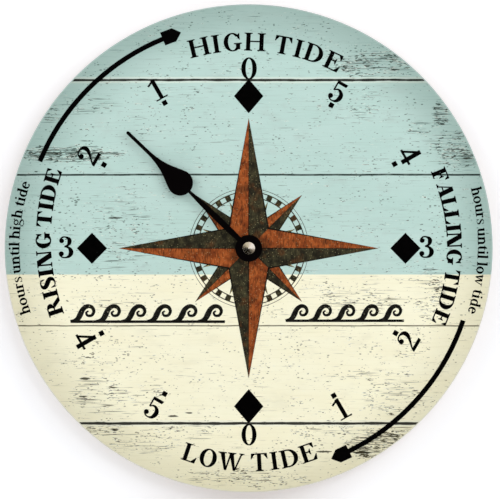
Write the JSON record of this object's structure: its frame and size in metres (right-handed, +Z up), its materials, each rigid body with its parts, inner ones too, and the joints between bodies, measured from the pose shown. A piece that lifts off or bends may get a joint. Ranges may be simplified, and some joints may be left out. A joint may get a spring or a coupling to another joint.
{
  "type": "tide clock",
  "caption": "Round wall tide clock: printed board dial in aqua and cream, a black pear-shaped hand with a conical nut, and a battery quartz tide movement with a keyhole hanger behind.",
  "frame": {"origin": "on the hand's axis, in the plane of the wall that the movement's back rests on", "axes": "+X right as seen from the room, +Y from the room to the wall, +Z up"},
  "size_m": [0.3, 0.0328, 0.3],
  "materials": {
    "fibreboard": "bare medium-density fibreboard, slightly fuzzy at the edge",
    "printed_sheet": "printed matt sheet, pale aqua above and cream below",
    "black_ink": "solid black printing ink",
    "black_metal": "satin black lacquer on aluminium sheet",
    "polished_steel": "turned and polished steel",
    "zinc_steel": "zinc plated sheet steel",
    "brass": "turned brass",
    "spring_bronze": "phosphor bronze sheet",
    "black_rubber": "moulded rubber",
    "black_plastic": "finely textured moulded plastic",
    "white_gear_plastic": "moulded acetal",
    "magnet": "sintered magnet",
    "magnet_iron": "annealed soft iron sheet",
    "coil_plastic": "moulded nylon",
    "copper_wire": "enamelled copper wire",
    "circuit_laminate": "glass-fibre laminate with solder mask",
    "chip_resin": "cured black resin",
    "cell_jacket": null
  },
  "bodies": {
    "clock": {"dial_board": "fibreboard", "face_sheet": "printed_sheet", "dial_marks": "black_ink", "hanger_plate": "zinc_steel", "rubber_gasket": "black_rubber", "threaded_bushing": "brass", "flat_washer": "brass", "hex_nut": "brass", "movement_case": "black_plastic", "case_back": "black_plastic", "bridge_plate": "white_gear_plastic", "bridge_screws": "zinc_steel", "stator_plate": "magnet_iron", "coil_core": "magnet_iron", "coil_bobbin": "coil_plastic", "coil_winding": "copper_wire", "coil_leads": "copper_wire", "motor_screws": "zinc_steel", "circuit_board": "circuit_laminate", "quartz_crystal": "polished_steel", "driver_chip": "chip_resin", "positive_contact": "zinc_steel", "negative_contact": "zinc_steel"},
    "hand": {"tide_hand": "black_metal", "cap_nut": "polished_steel", "tide_arbor": "brass", "tide_wheel": "white_gear_plastic"},
    "motion": {"motion_wheel": "white_gear_plastic"},
    "clutch": {"clutch_pinion": "brass", "clutch_spring": "spring_bronze"},
    "setting": {"setting_knob": "black_plastic", "setting_pinion": "white_gear_plastic"},
    "rotor": {"rotor_pinion": "white_gear_plastic", "rotor_magnet": "magnet"},
    "first": {"first_wheel": "white_gear_plastic"},
    "second": {"second_wheel": "white_gear_plastic"},
    "third": {"third_wheel": "white_gear_plastic"},
    "centre": {"centre_wheel": "white_gear_plastic"},
    "battery": {"battery_cell": "cell_jacket"}
  },
  "joints": [
    {"name": "hand_turn", "type": "hinge", "parent": "clock", "child": "hand", "pos_m": [0, 0, 0], "axis": [0, 1, 0], "continuous": true},
    {"name": "motion_turn", "type": "hinge", "parent": "clock", "child": "motion", "pos_m": [-0.00765, 0, 0], "axis": [0, 1, 0], "continuous": true},
    {"name": "clutch_turn", "type": "hinge", "parent": "clock", "child": "clutch", "pos_m": [0, 0, 0], "axis": [0, 1, 0], "continuous": true},
    {"name": "setting_turn", "type": "hinge", "parent": "clock", "child": "setting", "pos_m": [-0.0153, 0, 0], "axis": [0, 1, 0], "continuous": true},
    {"name": "rotor_turn", "type": "hinge", "parent": "clock", "child": "rotor", "pos_m": [-0.00075, 0, 0.01684], "axis": [0, 1, 0], "continuous": true},
    {"name": "first_turn", "type": "hinge", "parent": "clock", "child": "first", "pos_m": [0.00708, 0, 0.01546], "axis": [0, 1, 0], "continuous": true},
    {"name": "second_turn", "type": "hinge", "parent": "clock", "child": "second", "pos_m": [0.01423, 0, 0.01133], "axis": [0, 1, 0], "continuous": true},
    {"name": "third_turn", "type": "hinge", "parent": "clock", "child": "third", "pos_m": [0.00973, 0, 0.00354], "axis": [0, 1, 0], "continuous": true},
    {"name": "centre_turn", "type": "hinge", "parent": "clock", "child": "centre", "pos_m": [0, 0, 0], "axis": [0, 1, 0], "continuous": true},
    {"name": "battery_slide", "type": "slide", "parent": "clock", "child": "battery", "axis": [0, 1, 0], "range_m": [0, 0.02]}
  ],
  "couplings": [
    {"joint": "motion_turn", "follows": "hand_turn", "ratio": -4.2},
    {"joint": "clutch_turn", "follows": "hand_turn", "ratio": 13.65},
    {"joint": "setting_turn", "follows": "hand_turn", "ratio": 13.65},
    {"joint": "first_turn", "follows": "rotor_turn", "ratio": -0.17778},
    {"joint": "second_turn", "follows": "rotor_turn", "ratio": 0.03026},
    {"joint": "third_turn", "follows": "rotor_turn", "ratio": -0.0046554},
    {"joint": "centre_turn", "follows": "rotor_turn", "ratio": 0.00061054}
  ]
}
